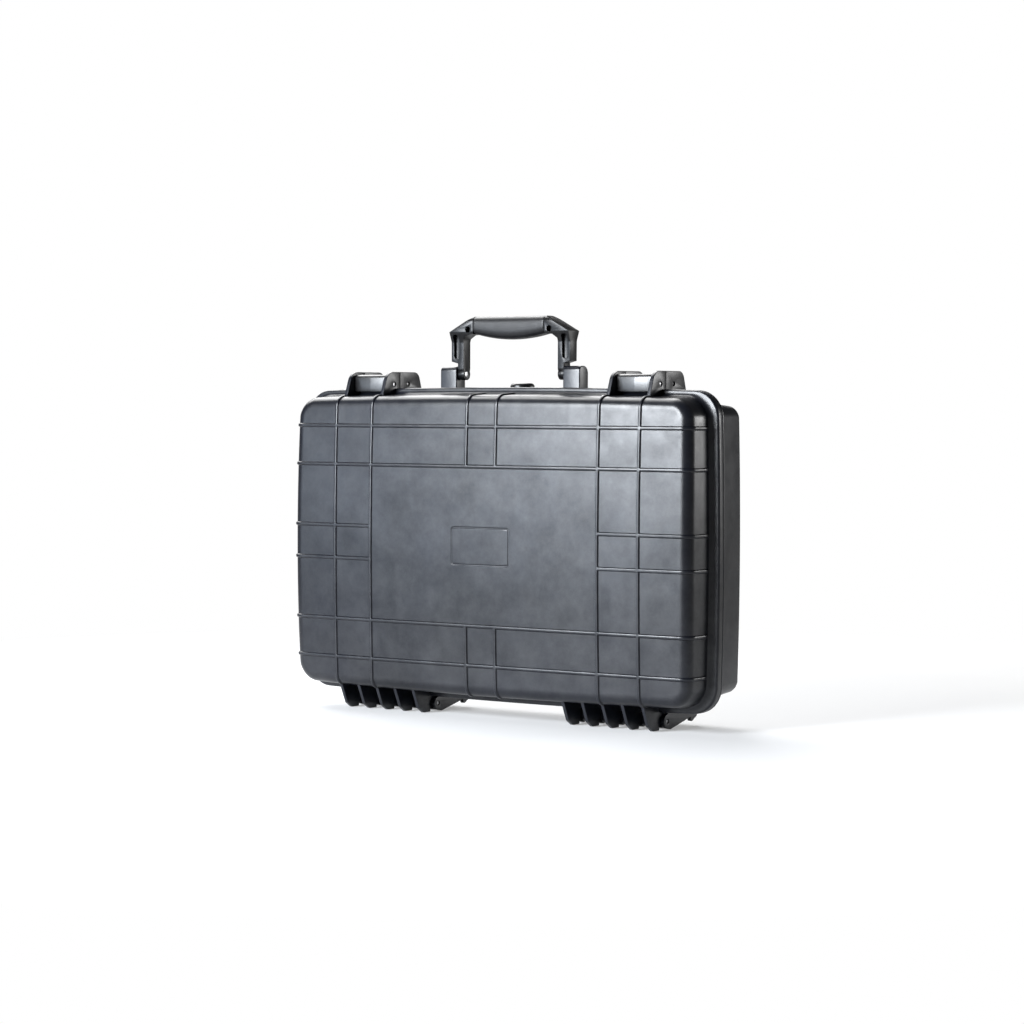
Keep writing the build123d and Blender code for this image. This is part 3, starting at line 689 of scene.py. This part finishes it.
# ---------------------------------------------------------------------------
# Materials, all from nodes. Texture scales are per metre
# ---------------------------------------------------------------------------
class Paint:
    """One material and the nodes added to it."""

    def __init__(self, name):
        self.material = bpy.data.materials.new(name)
        self.material.use_nodes = True
        self.tree = self.material.node_tree
        self.surface = self.tree.nodes["Principled BSDF"]
        self.place = self.add("ShaderNodeTexCoord").outputs["Object"]

    def add(self, kind, **inputs):
        made = self.tree.nodes.new(kind)
        for key, value in inputs.items():
            self.feed(made, key.replace("_", " "), value)
        return made

    def feed(self, made, key, value):
        if isinstance(value, bpy.types.NodeSocket):
            self.tree.links.new(value, made.inputs[key])
        else:
            made.inputs[key].default_value = value

    def noise(self, scale, detail=3.0, place=None):
        made = self.add("ShaderNodeTexNoise", Vector=place or self.place, Scale=scale, Detail=detail)
        return made.outputs["Fac"]

    def between(self, value, low, high, to_low=0.0, to_high=1.0):
        made = self.add("ShaderNodeMapRange", Value=value)
        for key, number in (("From Min", low), ("From Max", high), ("To Min", to_low), ("To Max", to_high)):
            made.inputs[key].default_value = number
        return made.outputs["Result"]

    def blend_colours(self, share, first, second):
        made = self.tree.nodes.new("ShaderNodeMix")
        made.data_type = "RGBA"
        self.tree.links.new(share, made.inputs[0])
        for socket, colour in ((made.inputs[6], first), (made.inputs[7], second)):
            if isinstance(colour, bpy.types.NodeSocket):
                self.tree.links.new(colour, socket)
            else:
                socket.default_value = (*colour, 1.0)
        return made.outputs[2]

    def bump(self, height, distance, strength=1.0):
        made = self.add("ShaderNodeBump", Height=height, Distance=distance, Strength=strength)
        return made.outputs["Normal"]

    def finish(self, colour, roughness, normal, **more):
        self.feed(self.surface, "Base Color", colour)
        self.feed(self.surface, "Roughness", roughness)
        self.feed(self.surface, "Normal", normal)
        for key, value in more.items():
            self.feed(self.surface, key.replace("_", " "), value)
        return self.material


def moulded_plastic(name, dark, light, rough, specular=0.5, edge_wear_and_highlight=0.0):
    """Moulded plastic: mottled sheen and fine grain, with convex edges and rib tops painted lighter: a
    painted highlight that also stands for rubbed wear.
    """
    paint = Paint(name)
    cloud = paint.noise(11.0, 4.0)
    body = paint.blend_colours(paint.between(cloud, 0.35, 0.65), dark, light)
    # Painted highlight: convex edges and rib tops get a lighter colour, standing also for rubbed wear
    edges = paint.add("ShaderNodeNewGeometry").outputs["Pointiness"]
    rubbed_and_highlit = tuple(2.0 * c for c in light)
    body = paint.blend_colours(paint.between(edges, 0.52, 0.60, 0.0, edge_wear_and_highlight), body, rubbed_and_highlit)
    mottle = paint.add("ShaderNodeTexNoise", Vector=paint.place, Scale=30.0, Detail=9.0, Roughness=0.76)
    sheen = paint.between(mottle.outputs["Fac"], 0.32, 0.68, 0.72 * specular, 1.32 * specular)
    gloss = paint.between(paint.noise(75.0, 5.0), 0.3, 0.7, rough - 0.03, rough + 0.04)
    normal = paint.bump(paint.noise(520.0, 3.0), 0.00002)
    return paint.finish(body, gloss, normal, Specular_IOR_Level=sheen)


def soft_rubber(name, dark, light, rough):
    """Rubber: dull, with a fine stipple and a dusty bloom."""
    paint = Paint(name)
    bloom = paint.between(paint.noise(30.0, 5.0), 0.4, 0.7)
    colour = paint.blend_colours(bloom, dark, light)
    gloss = paint.between(paint.noise(120.0, 2.0), 0.3, 0.7, rough - 0.06, rough + 0.06)
    normal = paint.bump(paint.noise(2300.0, 2.0), 0.00006)
    return paint.finish(colour, gloss, normal, Specular_IOR_Level=0.36)


def open_foam(name, dark, light):
    """Open-cell foam: a field of small pores over soft patches."""
    paint = Paint(name)
    cells = paint.add("ShaderNodeTexVoronoi", Vector=paint.place, Scale=620.0).outputs["Distance"]
    pores = paint.between(cells, 0.15, 0.6)
    colour = paint.blend_colours(pores, light, dark)
    patches = paint.between(paint.noise(16.0, 3.0), 0.3, 0.7, 0.9, 1.0)
    return paint.finish(colour, patches, paint.bump(pores, 0.0005, 0.8))


def turned_steel(name):
    """Pins: steel with drawing marks along the bar."""
    paint = Paint(name)
    stretched = paint.add("ShaderNodeMapping", Vector=paint.place)
    stretched.inputs["Scale"].default_value = (0.04, 1.0, 1.0)
    marks = paint.noise(2600.0, 2.0, stretched.outputs["Vector"])
    colour = paint.blend_colours(paint.between(marks, 0.3, 0.7), (0.42, 0.42, 0.43), (0.62, 0.62, 0.64))
    gloss = paint.between(marks, 0.3, 0.7, 0.24, 0.4)
    return paint.finish(colour, gloss, paint.bump(marks, 0.00002), Metallic=1.0)


FLOOR_GLOW = 0.35        # how bright the far floor looks to the case
FLOOR_LIGHT = 0.3        # share of the floor near the case that is lit from below
FLOOR_FADE = (0.45, 1.1)  # metres over which the floor turns into the white backdrop


def pale_floor(name):
    """The studio floor: near white with a faint unevenness, fading into a white backdrop."""
    paint = Paint(name)
    patches = paint.between(paint.noise(1.5, 2.0), 0.3, 0.7)
    tone = paint.blend_colours(patches, (0.88, 0.89, 0.905), (0.9, 0.91, 0.92))
    gloss = paint.between(paint.noise(8.0, 2.0), 0.3, 0.7, 0.55, 0.65)
    material = paint.finish(tone, gloss, paint.bump(paint.noise(300.0, 1.0), 0.00002))
    lit = paint.add("ShaderNodeEmission", Color=(1.0, 1.0, 1.0, 1.0))
    seen = paint.add("ShaderNodeLightPath").outputs["Is Camera Ray"]
    paint.feed(lit, "Strength", paint.between(seen, 0.0, 1.0, FLOOR_GLOW, 1.0))
    distance = paint.tree.nodes.new("ShaderNodeVectorMath")
    distance.operation = "LENGTH"
    paint.tree.links.new(paint.place, distance.inputs[0])
    share = paint.between(distance.outputs["Value"], *FLOOR_FADE, FLOOR_LIGHT, 1.0)
    fade = paint.add("ShaderNodeMixShader", Fac=share)
    paint.tree.links.new(paint.surface.outputs[0], fade.inputs[1])
    paint.tree.links.new(lit.outputs[0], fade.inputs[2])
    out = next(n for n in paint.tree.nodes if n.type == "OUTPUT_MATERIAL")
    paint.tree.links.new(fade.outputs[0], out.inputs["Surface"])
    return material


SHELL_DARK, SHELL_LIGHT = (0.0042, 0.0048, 0.0072), (0.0076, 0.0086, 0.0128)
TRIM_DARK, TRIM_LIGHT = (0.003, 0.003, 0.0035), (0.005, 0.005, 0.006)
MATERIALS = {
    # The shell's lighter edges and rib tops are a painted highlight that also stands for rubbed wear
    "shell_plastic": moulded_plastic("shell_plastic", SHELL_DARK, SHELL_LIGHT, 0.31, 0.5, edge_wear_and_highlight=0.4),
    "latch_plastic": moulded_plastic("latch_plastic", TRIM_DARK, TRIM_LIGHT, 0.32, 0.8),
    "handle_plastic": moulded_plastic("handle_plastic", TRIM_DARK, TRIM_LIGHT, 0.30, 0.27),
    "valve_plastic": moulded_plastic("valve_plastic", TRIM_DARK, TRIM_LIGHT, 0.30),
    "grip_rubber": soft_rubber("grip_rubber", (0.005, 0.005, 0.006), (0.010, 0.010, 0.011), 0.42),
    "seal_rubber": soft_rubber("seal_rubber", (0.012, 0.012, 0.012), (0.024, 0.024, 0.025), 0.7),
    "foam": open_foam("foam", (0.014, 0.014, 0.016), (0.05, 0.05, 0.054)),
    "pin_steel": turned_steel("pin_steel"),
}


def put(piece, body, slot_name, *nodes):
    """Gives a piece its material and its body, and hides the CAD nodes it stands for."""
    piece.data.materials.clear()
    piece.data.materials.append(MATERIALS[slot_name])
    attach(piece, body)
    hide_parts(*nodes)


put(lid_shell(), "lid", "shell_plastic", "lid_shell")
put(base_shell(), "base", "shell_plastic", "base_shell")
put(handle_grip(), "handle", "grip_rubber", "handle_grip")
put(refine("handle_frame", 0.6), "handle", "handle_plastic", "handle_frame")
put(refine("valve_knob", 0.35), "purge_knob", "valve_plastic", "valve_knob")
put(refine("valve_body", 0.3), "base", "valve_plastic", "valve_body")
put(refine("valve_nut", 0.4), "base", "valve_plastic", "valve_nut")
put(lid_foam(), "lid", "foam", "lid_foam")
put(base_foam(), "base", "foam", "base_foam")
for side, word in ((-1, "left"), (1, "right")):
    ridge = lever_ridge(side * LATCH_X)
    put(refine("latch_lever_" + word, 0.5, [ridge]), "latch_" + word, "latch_plastic", "latch_lever_" + word)
    put(refine("latch_hook_" + word, 0.4), "hook_" + word, "latch_plastic", "latch_hook_" + word)
    put(refine("link_pin_" + word, 0.3), "latch_" + word, "pin_steel", "link_pin_" + word)
    put(refine("catch_bar_" + word, 0.3), "lid", "pin_steel", "catch_bar_" + word)
    for kind in ("hinge_pin_", "latch_pin_", "handle_pin_"):
        put(refine(kind + word, 0.3), "base", "pin_steel", kind + word)
for node in ("lid_gasket", "valve_oring"):
    frame["nodes"][node].data.materials.clear()
    frame["nodes"][node].data.materials.append(MATERIALS["seal_rubber"])

# ---------------------------------------------------------------------------
# Floor, light and camera
# ---------------------------------------------------------------------------
FLOOR_HALF = 14.0
floor_mesh = bpy.data.meshes.new("floor")
floor_corners = [(a * FLOOR_HALF, b * FLOOR_HALF, 0) for a, b in ((-1, -1), (1, -1), (1, 1), (-1, 1))]
floor_mesh.from_pydata(floor_corners, [], [(0, 1, 2, 3)])
floor_mesh.materials.append(pale_floor("floor"))
floor = bpy.data.objects.new("floor", floor_mesh)
bpy.context.scene.collection.objects.link(floor)

# The case stands on its hinge side, so an open lid hangs below its feet: the floor sinks as the lid turns
FLOOR_Z = -0.0002
LID_TRAVEL = math.radians(110.0)
lid_low, lid_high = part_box("lid_shell")
hinge_to_top = lid_high.z - HINGE_Z * MM
hinge_to_face = HINGE_Y * MM - lid_low.y
lowest = HINGE_Z * MM + hinge_to_top * math.cos(LID_TRAVEL) - hinge_to_face * math.sin(LID_TRAVEL)
sink = floor.driver_add("location", 2)
sink.driver.type = "SUM"
turned_by = sink.driver.variables.new()
turned_by.type = "TRANSFORMS"
turned_by.targets[0].id = frame["bodies"]["lid"]
turned_by.targets[0].transform_type = "ROT_X"
turned_by.targets[0].transform_space = "WORLD_SPACE"
sink.modifiers[0].coefficients = (FLOOR_Z, lowest / LID_TRAVEL)


NEUTRAL = (1.0, 1.0, 1.0)
COOL = (0.72, 0.84, 1.0)
PALE_BLUE = (0.91, 0.95, 1.0)


def soft_light(name, place, aim, width, height, power, colour=NEUTRAL):
    """A rectangular soft light turned towards a point."""
    lamp = bpy.data.lights.new(name, "AREA")
    lamp.shape = "RECTANGLE"
    lamp.size = width
    lamp.size_y = height
    lamp.energy = power
    lamp.color = colour
    holder = bpy.data.objects.new(name, lamp)
    holder.location = place
    holder.rotation_euler = (Vector(aim) - Vector(place)).to_track_quat("-Z", "Y").to_euler()
    holder.visible_camera = False
    bpy.context.scene.collection.objects.link(holder)


# Each light stands where one part of the case mirrors it to the camera
CASE = (0.0, 0.0, 0.2)
soft_light("key", (-0.72, -2.25, 0.97), (0.1, 0.0, 0.26), 0.95, 1.15, 142, PALE_BLUE)
soft_light("fill", (-1.95, -2.3, 0.28), (-0.1, 0.0, 0.15), 1.5, 0.7, 11, COOL)
soft_light("low_fill", (-1.0, -2.3, 0.22), (0.1, 0.0, 0.15), 0.8, 0.4, 5.5, COOL)
soft_light("top", (-1.45, 0.9, 2.1), CASE, 2.2, 2.2, 105)
soft_light("back", (-1.9, 2.5, 0.75), CASE, 2.6, 1.3, 7)
soft_light("right", (2.15, 2.1, 0.70), (0.25, 0.0, 0.22), 0.9, 0.8, 24)

world = bpy.data.worlds.new("studio")
bpy.context.scene.world = world
world.use_nodes = True
background = world.node_tree.nodes["Background"]
ray = world.node_tree.nodes.new("ShaderNodeLightPath").outputs["Is Camera Ray"]
level = world.node_tree.nodes.new("ShaderNodeMapRange")
level.inputs["To Min"].default_value = 0.05     # what lights the case
level.inputs["To Max"].default_value = 1.0      # what the camera sees behind it
world.node_tree.links.new(ray, level.inputs["Value"])
world.node_tree.links.new(level.outputs["Result"], background.inputs["Strength"])
background.inputs["Color"].default_value = (1.0, 1.0, 1.0, 1.0)
bpy.context.scene.view_settings.view_transform = "Standard"

AZIMUTH, ELEVATION, ROLL = (math.radians(a) for a in (34.6, 2.30, 0.18))
LENS = 95.98
DISTANCE = 2.705
AIM = Vector((0.0392, -0.0575, 0.2108))
back = Vector((math.sin(AZIMUTH) * math.cos(ELEVATION), -math.cos(AZIMUTH) * math.cos(ELEVATION),
               math.sin(ELEVATION)))
camera = bpy.data.objects.new("camera", bpy.data.cameras.new("camera"))
camera.data.lens = LENS
camera.data.sensor_width = 36.0
camera.location = AIM + back * DISTANCE
turned = Quaternion(back, ROLL) @ (-back).to_track_quat("-Z", "Y")
camera.rotation_mode = "QUATERNION"
camera.rotation_quaternion = turned
bpy.context.scene.collection.objects.link(camera)
bpy.context.scene.camera = camera
